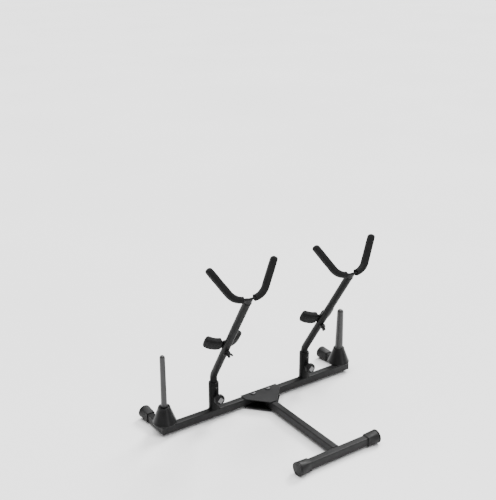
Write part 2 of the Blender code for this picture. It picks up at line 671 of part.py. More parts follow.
clear_scene()
MATERIALS = {
    "steel": make_material("black_steel", (0.035, 0.035, 0.037), 0.42, 0.0),
    "rubber": make_material("black_rubber", (0.020, 0.020, 0.020), 0.70, 0.0),
    "plastic": make_material("black_plastic", (0.018, 0.018, 0.019), 0.45, 0.0),
    "bolt": make_material("zinc_steel", (0.55, 0.55, 0.56), 0.35, 1.0),
    "inlay": make_material("grey_inlay", (0.32, 0.32, 0.33), 0.40, 0.0),
}
STAND = make_empty("stand", (0, 0, 0))
STAND.location = (0, SHIFT_Y, 0)
make_hub(STAND)
for WORD, SIDE in (("left", -1), ("right", 1)):
    build_side(WORD, SIDE, STAND)
make_peg("left", "flute", -1, (0.0072, 0.0058, 0.120), bpy.data.objects["left_wing_axis"])
make_peg("right", "clarinet", 1, (0.0105, 0.0075, 0.100), bpy.data.objects["right_wing_axis"])
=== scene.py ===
"""Double saxophone stand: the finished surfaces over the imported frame.

The tubes, plates and strips of the frame keep their shapes and take the finish of their slot.
Rubber caps, foam sleeves, cones, pegs, sockets, arms, knobs and fasteners are drawn here at full
detail, each in the place of its frame node. Metres, +Z up, -Y towards the front leg.
"""
import json
import math

import bpy
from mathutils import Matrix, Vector, noise


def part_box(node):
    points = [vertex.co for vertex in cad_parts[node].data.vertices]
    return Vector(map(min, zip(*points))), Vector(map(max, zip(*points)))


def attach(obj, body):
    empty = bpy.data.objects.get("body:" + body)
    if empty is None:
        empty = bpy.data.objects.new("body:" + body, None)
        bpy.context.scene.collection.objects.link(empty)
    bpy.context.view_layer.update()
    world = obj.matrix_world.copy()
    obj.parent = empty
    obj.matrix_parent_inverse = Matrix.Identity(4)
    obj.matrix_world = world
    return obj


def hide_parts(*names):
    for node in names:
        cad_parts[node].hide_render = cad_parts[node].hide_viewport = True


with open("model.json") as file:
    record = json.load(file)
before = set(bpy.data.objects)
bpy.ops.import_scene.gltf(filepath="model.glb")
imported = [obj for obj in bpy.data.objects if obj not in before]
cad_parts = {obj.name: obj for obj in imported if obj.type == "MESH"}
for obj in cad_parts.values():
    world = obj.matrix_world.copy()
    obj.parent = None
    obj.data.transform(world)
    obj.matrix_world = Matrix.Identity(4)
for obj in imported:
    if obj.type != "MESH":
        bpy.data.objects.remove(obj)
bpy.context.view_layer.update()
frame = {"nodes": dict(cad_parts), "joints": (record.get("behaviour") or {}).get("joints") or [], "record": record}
NODES = frame["nodes"]
JOINTS = {joint["name"]: joint for joint in frame["joints"]}
X_AXIS = Vector((1, 0, 0))
Y_AXIS = Vector((0, 1, 0))
Z_AXIS = Vector((0, 0, 1))
SIDES = (("left", -1), ("right", 1))

# --- sizes that the frame's nodes share -------------------------------------------------------
TUBE_W = 0.0155               # width of the flat-sided base tube
TUBE_TOP = 0.0235
POST_R = 0.008
POST_WALL = 0.0015
BEND_R = 0.026
SOCKET_R = 0.01125
SOCKET_BORE_R = 0.0097
BOSS_R = 0.0070
BOSS_BACK, BOSS_FRONT = 0.0098, 0.0160                   # from the post's axis, forwards
KNOB_R = 0.01175
SCREW_R = 0.0030              # the bolts and the knob's screw
SCREW_START = 0.0116          # the knob's screw stops in front of the socket's wall
THREAD_PITCH = 0.0010
YOKE_AT = 0.293
YOKE_TILT = math.radians(25)
YOKE_PATH = (0.009, 0.036, math.radians(59), 0.055)      # flat, bend radius, slope, prong
CRADLE_PATH = (0.007, 0.0435, math.radians(42), 0.0)
CRADLE_BOLT = -0.0045         # the bolt's place along the arm, from the cradle's middle
NUT_TURN = {"left": math.radians(-25), "right": math.radians(-75)}
NECK_LENGTH = 0.0100          # between the arm's tube and the yoke's middle
STRIP_T = 0.003
BRACKET_BACK = 0.0098         # from the arm's axis to the middle of the cradle's strip
CONE_NECK_R = 0.0128

# --- foam sleeves: thickness, width, and the width of the strip inside ------------------------
YOKE_PAD = (0.0140, 0.0170, 0.012)
CRADLE_PAD = (0.0160, 0.0310, 0.018)
YOKE_PAD_START = 0.0124       # along the strip, from its middle
CRADLE_PAD_START = 0.0085
CRADLE_PAD_BACK = 0.0025      # the foam is thicker behind the cradle's strip than before it
PAD_NOSE = 0.0066             # a sleeve's rounded end
NARROW_PAD = 0.010            # a half width under this takes a rounder section
ROUND_SECTION, SQUARE_SECTION = 3.0, 3.8

# --- rubber caps: half width, half height and squareness of the sleeve's outlines -------------
CAP_SLEEVE = (0.00975, 0.01075, 9.0)
CAP_THROAT = (0.0081, 0.0093, 12.0)
CAP_MOUTH = (0.0091, 0.0103, 11.0)

# --- studio -----------------------------------------------------------------------------------
FLOOR_HALF = 40.0
WORLD_STRENGTH = 0.50
SUNS = (("key_light", (1.9, 0.8, 1.9), 22, 4.2),         # from where, width in degrees, strength
        ("top_light", (0.0, 0.1, 2.6), 60, 4.9),
        ("edge_light", (0.95, -1.30, 1.90), 12, 0.6),
        ("front_light", (0.36, -1.9, 0.5), 12, 0.35))
CAMERA_AT = (-0.98465, -1.38452, 1.00815)                # y is from the row of fold hinges
CAMERA_TURN = (69.270, 0.0, -34.484)                     # degrees
CAMERA_LENS = 62.387
CAMERA_SENSOR = 36.0


# --- meshes -----------------------------------------------------------------------------------
def circle(radius, count):
    """Points of a circle, by angle."""
    angles = [2 * math.pi * i / count for i in range(count)]
    return [(radius * math.cos(angle), radius * math.sin(angle)) for angle in angles]


def polygon(flat_radius, sides, count):
    """A regular polygon met by evenly spread rays."""
    half = math.pi / sides
    points = []
    for i in range(count):
        angle = 2 * math.pi * i / count
        reach = flat_radius / math.cos((angle + half) % (2 * half) - half)
        points.append((reach * math.cos(angle), reach * math.sin(angle)))
    return points


def oval(half_a, half_b, power, count):
    """A superellipse: power 2 is an ellipse, and a higher power is squarer."""
    points = []
    for i in range(count):
        angle = 2 * math.pi * i / count
        cos, sin = math.cos(angle), math.sin(angle)
        reach = (abs(cos / half_a) ** power + abs(sin / half_b) ** power) ** (-1 / power)
        points.append((reach * cos, reach * sin))
    return points


def blend_points(first, second, share):
    return [(a + (c - a) * share, b + (d - b) * share) for (a, b), (c, d) in zip(first, second)]


def scaled(points, factor):
    return [(a * factor, b * factor) for a, b in points]


def place(points, centre, across, up):
    return [centre + across * a + up * b for a, b in points]


def eased(profile, cut, steps=4):
    """Round the corners of an open profile of (radius, height) points."""
    made = [profile[0]]
    for before, here, after in zip(profile, profile[1:], profile[2:]):
        back = Vector(before) - Vector(here)
        ahead = Vector(after) - Vector(here)
        reach = min(cut, back.length * 0.45, ahead.length * 0.45)
        start = Vector(here) + back.normalized() * reach
        end = Vector(here) + ahead.normalized() * reach
        for step in range(steps + 1):
            share = step / steps
            point = start.lerp(Vector(here), share).lerp(Vector(here).lerp(end, share), share)
            made.append(tuple(point))
    made.append(profile[-1])
    return made


class Shape:
    """Vertices and faces of one piece, gathered from closed skins."""

    def __init__(self):
        self.verts = []
        self.faces = []

    def skin(self, rings, loop=False):
        """Bridge rings of equal length. An open skin gets a face at each end."""
        base = len(self.verts)
        count = len(rings[0])
        for ring in rings:
            self.verts.extend(ring)
        spans = len(rings) if loop else len(rings) - 1
        for row in range(spans):
            low = base + row * count
            high = base + (row + 1) % len(rings) * count
            for i in range(count):
                j = (i + 1) % count
                self.faces.append((low + i, low + j, high + j, high + i))
        if not loop:
            self.faces.append(tuple(base + i for i in reversed(range(count))))
            top = base + (len(rings) - 1) * count
            self.faces.append(tuple(top + i for i in range(count)))
        return self

    def turned(self, profile, centre, axis, count=48, loop=False, across=None):
        """Turn (radius, height) points about an axis."""
        across = across or axis.orthogonal().normalized()
        up = axis.cross(across)
        return self.skin([place(circle(radius, count), centre + axis * height, across, up)
                          for radius, height in profile], loop)

    def screw_thread(self, centre, axis, radius, depth, pitch, start, end, count=24):
        """A helical thread with a chamfer at its end."""
        across = axis.orthogonal().normalized()
        up = axis.cross(across)
        rows_per_turn = 6
        rows = int((end - start) / pitch * rows_per_turn)
        rings = []
        for row in range(rows + 1):
            height = start + (end - start) * row / rows
            fade = min(1.0, (end - height) / pitch)
            ring = []
            for i in range(count):
                phase = (height / pitch - i / count) % 1.0
                ridge = abs(phase * 2 - 1)
                reach = radius - depth * (1 - ridge) - depth * 1.4 * (1 - fade)
                angle = 2 * math.pi * i / count
                ring.append((reach * math.cos(angle), reach * math.sin(angle)))
            rings.append(place(ring, centre + axis * height, across, up))
        return self.skin(rings)

    def bead(self, points, size, seed, lift=Z_AXIS):
        """A weld bead: an uneven rounded run along a line of points."""
        rings = []
        travelled = 0.0
        ripple_pitch = 0.0016
        for index, point in enumerate(points):
            before = points[max(index - 1, 0)]
            after = points[min(index + 1, len(points) - 1)]
            along = (after - before).normalized()
            if index:
                travelled += (point - points[index - 1]).length
            across = along.cross(lift).normalized()
            up = across.cross(along)
            ripple = 1 + 0.10 * math.sin(travelled * 2 * math.pi / ripple_pitch)
            ripple += 0.16 * noise.noise(point * 350 + Vector((seed, 0, 0)))
            ends = min(index, len(points) - 1 - index)
            taper = (0.35, 0.75, 0.95)[ends] if ends < 3 else 1.0
            rings.append(place(circle(size * ripple * taper, 10), point, across, up))
        return self.skin(rings)

    def build(self, name, body, slot, replaced=(), sharp=38, finish=None):
        """Make the piece, turned right side out, with its body, slot and replaced nodes."""
        mesh = bpy.data.meshes.new(name)
        mesh.from_pydata([tuple(v) for v in self.verts], [], self.faces)
        mesh.validate()
        mesh.shade_smooth()
        mesh.set_sharp_from_angle(angle=math.radians(sharp))
        made = bpy.data.objects.new(name, mesh)
        bpy.context.scene.collection.objects.link(made)
        volume = sum((Vector(self.verts[f[0]]).dot(Vector(self.verts[f[i]]).cross(
            Vector(self.verts[f[i + 1]])))) for f in self.faces for i in range(1, len(f) - 1))
        if volume < 0:
            mesh.flip_normals()
        mesh.materials.append(finish or MATERIALS[slot])
        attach(made, body)
        if replaced:
            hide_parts(*replaced)
        return made


# --- materials --------------------------------------------------------------------------------
class Finish:
    """A small helper round one material's node tree."""

    def __init__(self, name, colour, roughness, metallic=0.0):
        self.material = bpy.data.materials.new(name)
        self.material.use_nodes = True
        self.material.diffuse_color = (*colour, 1)
        self.tree = self.material.node_tree
        self.shader = self.tree.nodes["Principled BSDF"]
        self.shader.inputs["Base Color"].default_value = (*colour, 1)
        self.shader.inputs["Roughness"].default_value = roughness
        self.shader.inputs["Metallic"].default_value = metallic
        self.place = self.tree.nodes.new("ShaderNodeTexCoord").outputs["Object"]

    def feed(self, socket, value):
        """Link another node's output to a socket, or set a plain value."""
        if hasattr(value, "is_linked"):
            self.tree.links.new(value, socket)
        else:
            socket.default_value = value

    def add(self, kind, **inputs):
        node = self.tree.nodes.new(kind)
        for key, value in inputs.items():
            self.feed(node.inputs[key], value)
        return node

    def stretch(self, scale):
        node = self.add("ShaderNodeMapping", Vector=self.place)
        node.inputs["Scale"].default_value = scale
        return node.outputs["Vector"]

    def noise(self, scale, detail=3.0, roughness=0.55, vector=None):
        return self.add("ShaderNodeTexNoise", Vector=vector or self.place, Scale=scale,
                        Detail=detail, Roughness=roughness).outputs["Fac"]

    def cells(self, scale):
        return self.add("ShaderNodeTexVoronoi", Vector=self.place, Scale=scale).outputs["Distance"]

    def ramp(self, factor, stops):
        node = self.add("ShaderNodeValToRGB", Fac=factor)
        elements = node.color_ramp.elements
        while len(elements) < len(stops):
            elements.new(0.5)
        for element, (at, value) in zip(elements, stops):
            element.position = at
            element.color = (value, value, value, 1) if isinstance(value, float) else (*value, 1)
        return node.outputs["Color"]

    def span(self, factor, low, high, out_low, out_high):
        node = self.tree.nodes.new("ShaderNodeMapRange")
        self.tree.links.new(factor, node.inputs["Value"])
        for key, value in (("From Min", low), ("From Max", high), ("To Min", out_low),
                           ("To Max", out_high)):
            node.inputs[key].default_value = value
        return node.outputs["Result"]

    def mixed(self, factor, first, second):
        node = self.tree.nodes.new("ShaderNodeMix")
        node.data_type = "RGBA"
        for key, value in (("Factor", factor), ("A", first), ("B", second)):
            self.feed([s for s in node.inputs if s.name == key and s.enabled][0], value)
        return [s for s in node.outputs if s.enabled][0]

    def maths(self, operation, first, second):
        node = self.tree.nodes.new("ShaderNodeMath")
        node.operation = operation
        for socket, value in zip(node.inputs, (first, second)):
            self.feed(socket, value)
        return node.outputs["Value"]

    def height(self):
        """Height above the floor, in metres."""
        split = self.add("ShaderNodeSeparateXYZ", Vector=self.place)
        return split.outputs["Z"]

    def bump(self, height, strength, distance, under=None):
        node = self.add("ShaderNodeBump", Height=height, Strength=strength, Distance=distance)
        if under:
            self.tree.links.new(under, node.inputs["Normal"])
        return node.outputs["Normal"]

    def set(self, key, value):
        self.feed(self.shader.inputs[key], value)

    def mottle(self, scale, detail, dark, pale, high=0.7):
        """A base colour that drifts between two tones."""
        return self.ramp(self.noise(scale, detail), ((0.3, dark), (high, pale)))


def powder_coat(name, depth, gloss):
    """Satin black powder coat: fine orange peel, faint cloudiness, dust and a few rubbed spots."""
    f = Finish(name, (depth, depth, depth), 0.42)
    dark = (depth * 0.8, depth * 0.8, depth * 0.84)
    pale = (depth * 1.2, depth * 1.2, depth * 1.25)
    base = f.mottle(28, 4, dark, pale)
    speck = f.span(f.noise(2600, 1), 0.66, 0.74, 0.0, 0.5)
    base = f.mixed(speck, base, (depth * 3.2, depth * 3.2, depth * 3.2, 1))
    rub = f.maths("MULTIPLY", f.span(f.noise(95, 6, 0.7), 0.66, 0.74, 0, 0.35),
                  f.span(f.noise(11, 2), 0.45, 0.6, 0, 1))
    f.set("Base Color", f.mixed(rub, base, (depth * 4, depth * 4, depth * 4, 1)))
    f.set("Roughness", f.span(f.noise(60, 5), 0.3, 0.7, 0.38, 0.52))
    f.set("Specular IOR Level", gloss)
    peel = f.bump(f.noise(620, 2), 0.30, 0.00022)
    f.set("Normal", f.bump(f.noise(2100, 2), 0.22, 0.00009, peel))
    return f.material


def cap_rubber():
    """Moulded rubber: matte, a fine grain, greyer and scuffed where it stands."""
    f = Finish("moulded_black_rubber", (0.022, 0.022, 0.023), 0.62)
    base = f.mottle(70, 4, (0.0058, 0.0058, 0.0060), (0.0095, 0.0095, 0.0098), 0.72)
    dust = f.maths("MULTIPLY", f.span(f.height(), 0.0, 0.009, 1, 0),
                   f.span(f.noise(420, 5, 0.7), 0.42, 0.62, 0.05, 0.75))
    f.set("Base Color", f.mixed(dust, base, (0.032, 0.031, 0.030, 1)))
    f.set("Roughness", f.span(f.noise(180, 4), 0.3, 0.7, 0.46, 0.62))
    f.set("Specular IOR Level", 0.20)
    grain = f.bump(f.noise(1300, 3), 0.35, 0.00012)
    f.set("Normal", f.bump(f.noise(150, 3), 0.25, 0.0004, grain))
    return f.material


def pad_rubber():
    """Foam rubber sleeve: closed cells under a thin skin, with painted shade in the cell hollows, a soft sheen and
    faint rubbing.
    """
    f = Finish("foam_rubber_sleeve", (0.020, 0.020, 0.021), 0.8)
    base = f.mottle(110, 5, (0.0045, 0.0045, 0.0047), (0.0082, 0.0082, 0.0085), 0.72)
    # Painted shade: the base colour darkens towards the middle of each foam cell, standing in for shade inside the
    # pores.
    pore_shade = f.span(f.cells(1500), 0.05, 0.35, 0.35, 0.0)
    base = f.mixed(pore_shade, base, (0.002, 0.002, 0.002, 1))
    lint = f.span(f.noise(900, 2), 0.70, 0.76, 0, 0.30)
    f.set("Base Color", f.mixed(lint, base, (0.022, 0.022, 0.022, 1)))
    f.set("Roughness", f.span(f.noise(260, 4), 0.3, 0.7, 0.66, 0.86))
    f.set("Specular IOR Level", 0.12)
    f.set("Sheen Weight", 0.03)
    f.set("Sheen Roughness", 0.5)
    cell = f.bump(f.cells(1500), 0.35, 0.00016)
    f.set("Normal", f.bump(f.noise(240, 4), 0.35, 0.0005, cell))
    return f.material


def cone_rubber():
    """Firm moulded rubber with a satin skin and very fine turning marks."""
    f = Finish("satin_moulded_rubber", (0.024, 0.024, 0.025), 0.45)
    base = f.mottle(60, 4, (0.0048, 0.0048, 0.0050), (0.0080, 0.0080, 0.0083), 0.72)
    dust = f.span(f.noise(750, 3), 0.68, 0.76, 0, 0.35)
    f.set("Base Color", f.mixed(dust, base, (0.024, 0.024, 0.024, 1)))
    f.set("Roughness", f.span(f.noise(130, 4), 0.3, 0.7, 0.30, 0.38))
    f.set("Specular IOR Level", 0.18)
    rings = f.noise(1.0, 2, 0.5, f.stretch((40, 40, 1400)))
    f.set("Normal", f.bump(f.noise(900, 3), 0.28, 0.00012, f.bump(rings, 0.12, 0.0001)))
    return f.material


def peg_plastic():
    """Smooth injection-moulded plastic with faint flow lines and wipe marks."""
    f = Finish("smooth_black_plastic", (0.022, 0.022, 0.023), 0.34)
    f.set("Base Color", f.mottle(45, 3, (0.0100, 0.0100, 0.0104), (0.0150, 0.0150, 0.0156)))
    streak = f.noise(1.0, 4, 0.6, f.stretch((420, 420, 26)))
    f.set("Roughness", f.span(streak, 0.3, 0.7, 0.26, 0.44))
    f.set("Normal", f.bump(streak, 0.10, 0.00015))
    return f.material


def knob_plastic():
    """Spark-eroded black plastic: an even fine texture."""
    f = Finish("textured_black_plastic", (0.024, 0.024, 0.025), 0.42)
    f.set("Base Color", f.mottle(120, 4, (0.0048, 0.0048, 0.0050), (0.0080, 0.0080, 0.0083)))
    f.set("Roughness", f.span(f.noise(240, 4), 0.3, 0.7, 0.40, 0.54))
    f.set("Specular IOR Level", 0.12)
    f.set("Normal", f.bump(f.noise(2400, 2), 0.35, 0.00010))
    return f.material


def grey_inlay():
    """Satin grey insert with a brushed grain and hairline scratches."""
    f = Finish("satin_grey_inlay", (0.30, 0.30, 0.31), 0.35)
    grain = f.noise(1.0, 4, 0.6, f.stretch((160, 160, 2200)))
    f.set("Base Color", f.ramp(grain, ((0.3, (0.105, 0.105, 0.108)), (0.7, (0.148, 0.148, 0.152)))))
    f.set("Roughness", f.span(grain, 0.3, 0.7, 0.28, 0.46))
    f.set("Normal", f.bump(grain, 0.15, 0.0001))
    return f.material


def plated(name, colour, low, high, dull):
    """Plated steel with a lathe-turned grain, cloudy passivation and small dull spots."""
    f = Finish(name, colour, (low + high) / 2, 1.0)
    base = f.mottle(320, 4, tuple(c * 0.78 for c in colour), colour, 0.72)
    spot = f.span(f.noise(700, 5, 0.7), 0.62, 0.72, 0, dull)
    f.set("Base Color", f.mixed(spot, base, tuple(c * 0.35 for c in colour) + (1,)))
    f.set("Roughness", f.span(f.noise(500, 4), 0.3, 0.7, low, high))
    f.set("Normal", f.bump(f.noise(1.0, 3, 0.6, f.stretch((900, 900, 5200))), 0.12, 0.00006))
    return f.material


MATERIALS = {
    "powder_coat": powder_coat("satin_black_powder_coat", 0.0082, 0.165),
    "cap_rubber": cap_rubber(),
    "pad_rubber": pad_rubber(),
    "peg_base_rubber": cone_rubber(),
    "peg_plastic": peg_plastic(),
    "black_plastic": knob_plastic(),
    "grey_inlay": grey_inlay(),
    "zinc_fastener": plated("zinc_plated_steel", (0.085, 0.085, 0.087), 0.42, 0.58, 0.4),
    "clamp_hardware": plated("dark_plated_steel", (0.030, 0.030, 0.031), 0.32, 0.46, 0.4),
}
# Painted shade: this is a darker, duller copy of the same satin powder coat. It goes on the arms, sockets, bosses
# and their welds to darken these upright round parts.
PAINTED_SHADE_TUBE_COAT = powder_coat("powder_coat_painted_shade", 0.0042, 0.085)


def coat_frame_nodes():
    """Every carried-over node takes the finish of its slot."""
    for part in frame["record"]["subparts"]:
        mesh = NODES[part["node"]].data
        mesh.materials.clear()
        mesh.materials.append(MATERIALS[part["material_slot"]])


# --- rubber end caps --------------------------------------------------------------------------
def make_cap(node, body, out):
    """A square sleeve that swells into a round foot, with a lip, a rim and a ringed end face."""
    low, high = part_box(node)
    middle = (low + high) / 2
    length = abs((high - low).dot(out))
    end = middle + out * length / 2
    centre = Vector((end.x, end.y, middle.z))
    across = out.cross(Z_AXIS)
    count = 96
    foot_r = middle.z
    sleeve = oval(*CAP_SLEEVE, count)
    throat = oval(*CAP_THROAT, count)
    mouth = oval(*CAP_MOUTH, count)
    rings = []
    start = -length

    def ring(points, at):
        rings.append(place(points, centre + out * at, across, Z_AXIS))

    ring(throat, start + 0.010)
    ring(throat, start + 0.0032)
    ring(mouth, start + 0.0022)
    ring(mouth, start + 0.0006)
    ring(blend_points(mouth, sleeve, 0.45), start + 0.0001)
    ring(blend_points(mouth, sleeve, 0.80), start + 0.0001)
    ring(scaled(sleeve, 0.985), start + 0.0004)
    ring(scaled(sleeve, 1.0), start + 0.0010)
    flare_from, flare_to = start + 0.0022, -0.0046
    flare_steps = 21
    for step in range(flare_steps + 1):
        share = step / flare_steps
        swell = share * (2 - share) * 0.25 + share * 0.75
        shape = blend_points(sleeve, circle(foot_r - 0.0003, count), swell)
        ring(shape, flare_from + (flare_to - flare_from) * share)
    groove = eased(((foot_r - 0.0003, -0.0045), (foot_r - 0.0004, -0.0041),
                    (foot_r - 0.0013, -0.0039), (foot_r - 0.0013, -0.0031),
                    (foot_r, -0.0028), (foot_r, 0.0), (foot_r - 0.0030, 0.0),
                    (foot_r - 0.0033, -0.0004), (foot_r - 0.0039, -0.0004),
                    (foot_r - 0.0042, 0.0), (0.004, 0.0), (0.0005, 0.0)), 0.0008)
    for radius, at in groove:
        ring(circle(radius, count), at)
    for points in rings:
        for point in points:
            point.z = max(point.z, 0.0)                  # the foot stands flat on the floor
    Shape().skin(rings).build(f"{node}_cap", body, "cap_rubber", [node])


# --- foam sleeves -----------------------------------------------------------------------------
def bent(path, run):
    """(across, out, slope) at a distance along a strip that is flat, bends, then runs straight."""
    flat, radius, rise = path[:3]
    if run < flat:
        return run, 0.0, 0.0
    turn = min((run - flat) / radius, rise)
    past = run - flat - radius * turn
    return (flat + radius * math.sin(turn) + past * math.cos(turn),
            radius * (1 - math.cos(turn)) + past * math.sin(turn), turn)


def make_sleeve(name, node, body, path, origin, way, out, wide, sideways, size, start, offset):
    """A soft tube over one prong, rounded, slightly crowned and creased inside its bend."""
    flat, radius, rise, prong = path
    half_t, half_w = size[0] / 2, size[1] / 2
    end = flat + radius * rise + prong
    count = 44
    squareness = ROUND_SECTION if half_w < NARROW_PAD else SQUARE_SECTION
    section = oval(half_t, half_w, squareness, count)
    pocket = oval(STRIP_T / 2 + 0.0004, size[2] / 2 + 0.0004, 8.0, count)
    arc = (flat, flat + radius * rise)

    def place_at(points, run):
        across, depth, turn = bent(path, run)
        centre = origin + sideways * (way * across) + out * depth
        normal = out * math.cos(turn) - sideways * (way * math.sin(turn))
        return [centre + normal * (a + offset) + wide * b for a, b in points]

    rings = []
    lip = [(a - offset, b) for a, b in pocket]
    for run in (start + 0.0060, start + 0.0010):
        rings.append(place_at(lip, run))
    for share, run in ((0.30, 0.0002), (0.65, 0.0), (0.88, 0.0003), (0.97, 0.0009)):
        rings.append(place_at(blend_points(lip, section, share), start + run))
    body_from, body_to = start + 0.0016, end
    steps = max(12, int((body_to - body_from) / 0.0011))
    nose_steps, nose_power = 9, 2.5
    arc_middle, arc_reach = sum(arc) / 2, 0.42 * (arc[1] - arc[0])
    crease_pitch, crease_depth = 0.0052, 0.00042
    crown_drop = 0.035
    runs = [body_from + (body_to - body_from) * i / steps for i in range(steps + 1)]
    runs += [end + PAD_NOSE * math.sin(math.pi / 2 * i / nose_steps)
             for i in range(1, nose_steps)]
    seed = Vector((3.1 * way, 1.7 * half_w * 100, 0.4))
    for run in runs:
        past = max(0.0, run - end) / PAD_NOSE
        shrink = (1 - past ** nose_power) ** (1 / nose_power)
        middle = (run - start) / (end - start)
        crown = 1.0 - crown_drop * (2 * middle - 1) ** 4 if past == 0 else 1.0 - crown_drop
        points = []
        for index, (a, b) in enumerate(section):
            angle = 2 * math.pi * index / count
            across, depth, turn = bent(path, run)
            here = origin + sideways * (way * across) + out * depth + wide * b
            soft = 0.00030 * noise.noise(here * 75 + seed) + 0.00012 * noise.noise(here * 260)
            inside = max(0.0, math.cos(angle)) ** 3
            window = math.exp(-((run - arc_middle) / arc_reach) ** 4)
            wave = math.sin(run * 2 * math.pi / crease_pitch + 1.5 * noise.noise(here * 90))
            crease = -crease_depth * inside * window * (0.5 + 0.5 * wave)
            reach = math.hypot(a, b)
            grow = (crown * shrink * reach + (soft + crease - 0.0001) * shrink) / reach
            points.append((a * grow, b * grow))
        rings.append(place_at(points, run))
    piece = Shape().skin(rings).build(name, body, "pad_rubber", [node], sharp=60)
    return piece


# --- arms -------------------------------------------------------------------------------------
class Arm:
    """The axes of one arm, from the frame's joints."""

    def __init__(self, word):
        self.post = Vector(JOINTS[f"{word}_turn"]["pos_m"])
        self.along = Vector(JOINTS[f"{word}_cradle_slide"]["axis"]).normalized()
        self.front = Vector(JOINTS[f"{word}_nut_turn"]["axis"]).normalized()
        self.bolt = Vector(JOINTS[f"{word}_nut_turn"]["pos_m"])
        level = math.hypot(self.along.x, self.along.y)
        run = math.hypot(self.bolt.x - self.post.x, self.bolt.y - self.post.y) / level
        self.crossing = self.bolt - self.along * run
        self.lean = math.atan2(level, self.along.z)
        self.across = self.along.cross(self.front)
        self.back = Z_AXIS.cross(self.across)
        self.yoke = self.crossing + self.along * YOKE_AT
        self.yoke_up = self.back * math.sin(YOKE_TILT) + Z_AXIS * math.cos(YOKE_TILT)
        self.yoke_front = -self.back * math.cos(YOKE_TILT) + Z_AXIS * math.sin(YOKE_TILT)
        self.cradle = self.bolt - self.along * CRADLE_BOLT


def make_arm(word, arm):
    """The bent tube, its neck under the yoke and the weld between them."""
    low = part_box(f"{word}_arm_tube")[0].z
    setback = BEND_R * math.tan(arm.lean / 2)
    foot = Vector((arm.crossing.x, arm.crossing.y, low))
    knee = arm.crossing - Z_AXIS * setback
    count = 48
    rings = []
    bore_r = POST_R - POST_WALL
    for radius, at in ((bore_r, foot + Z_AXIS * 0.006), (bore_r, foot),
                       (POST_R - 0.0004, foot), (POST_R, foot + Z_AXIS * 0.0004), (POST_R, knee)):
        rings.append(place(circle(radius, count), at, arm.across, arm.back))
    pivot = knee - arm.back * BEND_R
    bend_steps = 18
    for step in range(1, bend_steps + 1):
        turn = arm.lean * step / bend_steps
        behind = arm.back * math.cos(turn) + Z_AXIS * math.sin(turn)
        rings.append(place(circle(POST_R, count), pivot + behind * BEND_R, arm.across, behind))
    top = arm.yoke - arm.along * (NECK_LENGTH + 0.0003)
    rings.append(place(circle(POST_R, count), top, arm.across, -arm.front))
    # The arm and its welds take the powder coat copy that carries painted shade.
    Shape().skin(rings).build(f"{word}_arm", f"{word}_arm", "powder_coat", [f"{word}_arm_tube"],
                               finish=PAINTED_SHADE_TUBE_COAT)

    seam = Shape()
    neck_at = arm.yoke - arm.along * NECK_LENGTH
    ring = place(circle(POST_R - 0.0002, 60), neck_at, arm.across, -arm.front)
    seam.bead(ring + ring[:1], 0.0009, 1.0 if word == "left" else 2.0, arm.along)
    under = arm.yoke - arm.yoke_up * (STRIP_T / 2)
    edge = oval(0.0076, 0.0054, 6.0, 60)
    ring = place(edge, under, arm.across, -arm.yoke_front)
    seam.bead(ring + ring[:1], 0.0010, 3.0 if word == "left" else 4.0, arm.yoke_up)
    seam.build(f"{word}_neck_weld", f"{word}_arm", "powder_coat", finish=PAINTED_SHADE_TUBE_COAT)


def make_arm_pads(word, arm):
    for end, way in SIDES:
        make_sleeve(f"{word}_yoke_sleeve_{end}", f"{word}_yoke_pad_{end}", f"{word}_arm",
                    YOKE_PATH, arm.yoke, way, arm.yoke_up, arm.yoke_front, arm.across,
                    YOKE_PAD, YOKE_PAD_START, 0.0)
        make_sleeve(f"{word}_cradle_sleeve_{end}", f"{word}_cradle_pad_{end}", f"{word}_cradle",
                    CRADLE_PATH, arm.cradle - arm.front * BRACKET_BACK, way, -arm.front,
                    arm.along, arm.across, CRADLE_PAD, CRADLE_PAD_START, CRADLE_PAD_BACK)


def make_cradle_clamp(word, arm):
    """Coach bolt through the arm and a cast wing nut on its thread."""
    head = POST_R + 0.0036
    bolt = Shape()
    bolt.turned(eased(((0.0002, head + 0.0028), (0.0030, head + 0.0026), (0.0054, head + 0.0012),
                       (0.0062, head), (SCREW_R, head), (SCREW_R, -0.0100)), 0.0006),
                arm.bolt, -arm.front)
    bolt.screw_thread(arm.bolt, arm.front, SCREW_R, 0.00034, THREAD_PITCH, 0.0095, 0.0210)
    bolt.build(f"{word}_clamp_bolt", f"{word}_arm", "clamp_hardware", [f"{word}_cradle_bolt"])

    foot = POST_R + 0.0006
    turn = NUT_TURN[word]
    sideways = arm.across * math.cos(turn) + arm.along * math.sin(turn)
    thick = arm.along * math.cos(turn) - arm.across * math.sin(turn)
    nut = Shape()
    nut.turned(eased(((0.0031, foot), (0.0064, foot), (0.0060, foot + 0.0026),
                      (0.0050, foot + 0.0068), (0.0031, foot + 0.0070)), 0.0007),
               arm.bolt, arm.front, loop=True)
    spine = ((0.0036, 0.0034, 0.0028, 0.0020), (0.0058, 0.0038, 0.0028, 0.0019),
             (0.0080, 0.0046, 0.0029, 0.0018), (0.0098, 0.0058, 0.0029, 0.0017),
             (0.0112, 0.0071, 0.0024, 0.0016), (0.0121, 0.0081, 0.0015, 0.0012),
             (0.0125, 0.0085, 0.0005, 0.0005))
    for way in (-1, 1):
        rings = []
        for index, (side, rise, half_w, half_t) in enumerate(spine):
            before = spine[max(index - 1, 0)]
            after = spine[min(index + 1, len(spine) - 1)]
            run = Vector((after[0] - before[0], after[1] - before[1])).normalized()
            tangent_side = sideways * (way * -run.y) + arm.front * run.x
            centre = arm.bolt + sideways * (way * side) + arm.front * (foot + rise)
            rings.append(place(oval(half_w, half_t, 2.4, 20), centre, tangent_side, thick))
        nut.skin(rings if way > 0 else [list(reversed(r)) for r in rings])
    nut.build(f"{word}_clamp_wing_nut", f"{word}_nut", "clamp_hardware", [f"{word}_wing_nut"])


